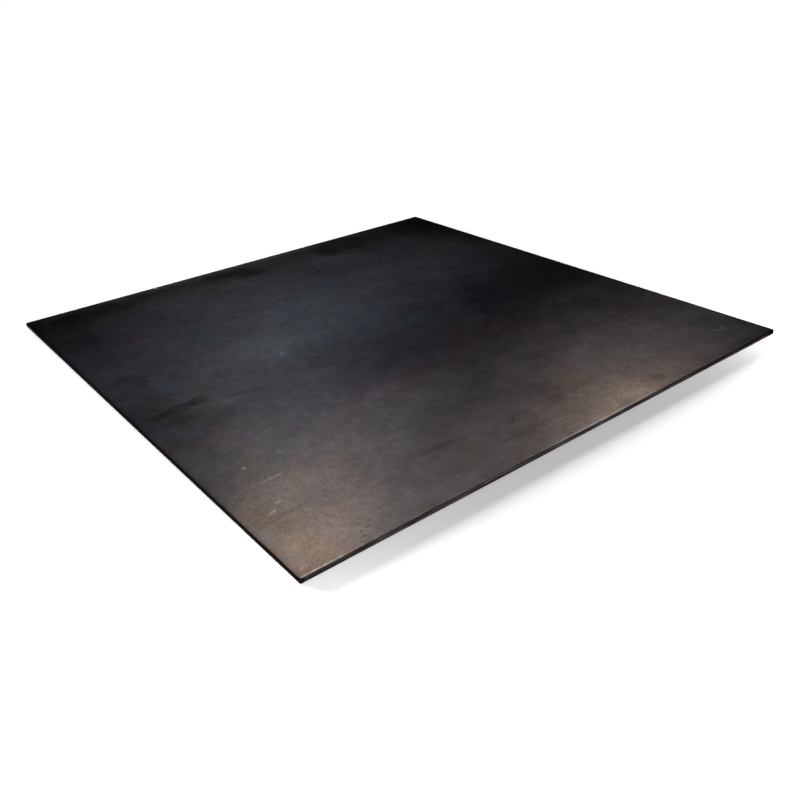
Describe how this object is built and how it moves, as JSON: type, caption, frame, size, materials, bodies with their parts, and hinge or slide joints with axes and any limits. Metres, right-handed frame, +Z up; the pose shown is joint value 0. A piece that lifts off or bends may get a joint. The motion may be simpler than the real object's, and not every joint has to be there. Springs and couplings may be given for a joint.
{
  "type": "steel plate",
  "caption": "Thin flat square plate of hot-rolled steel with dark mill scale and sheared edges, for cutting, welding or bolting into other work.",
  "frame": {"origin": "centre of the bottom face, which lies on the floor", "axes": "+Z up through the thickness, +X along the rolling direction and one pair of sides, +Y across it"},
  "size_m": [0.5, 0.5, 0.004],
  "materials": {
    "mill_scale": "hot-rolled, dark blue-grey mill scale with brown and straw temper tints"
  },
  "bodies": {
    "root": {"steel_plate": "mill_scale"}
  },
  "joints": []
}
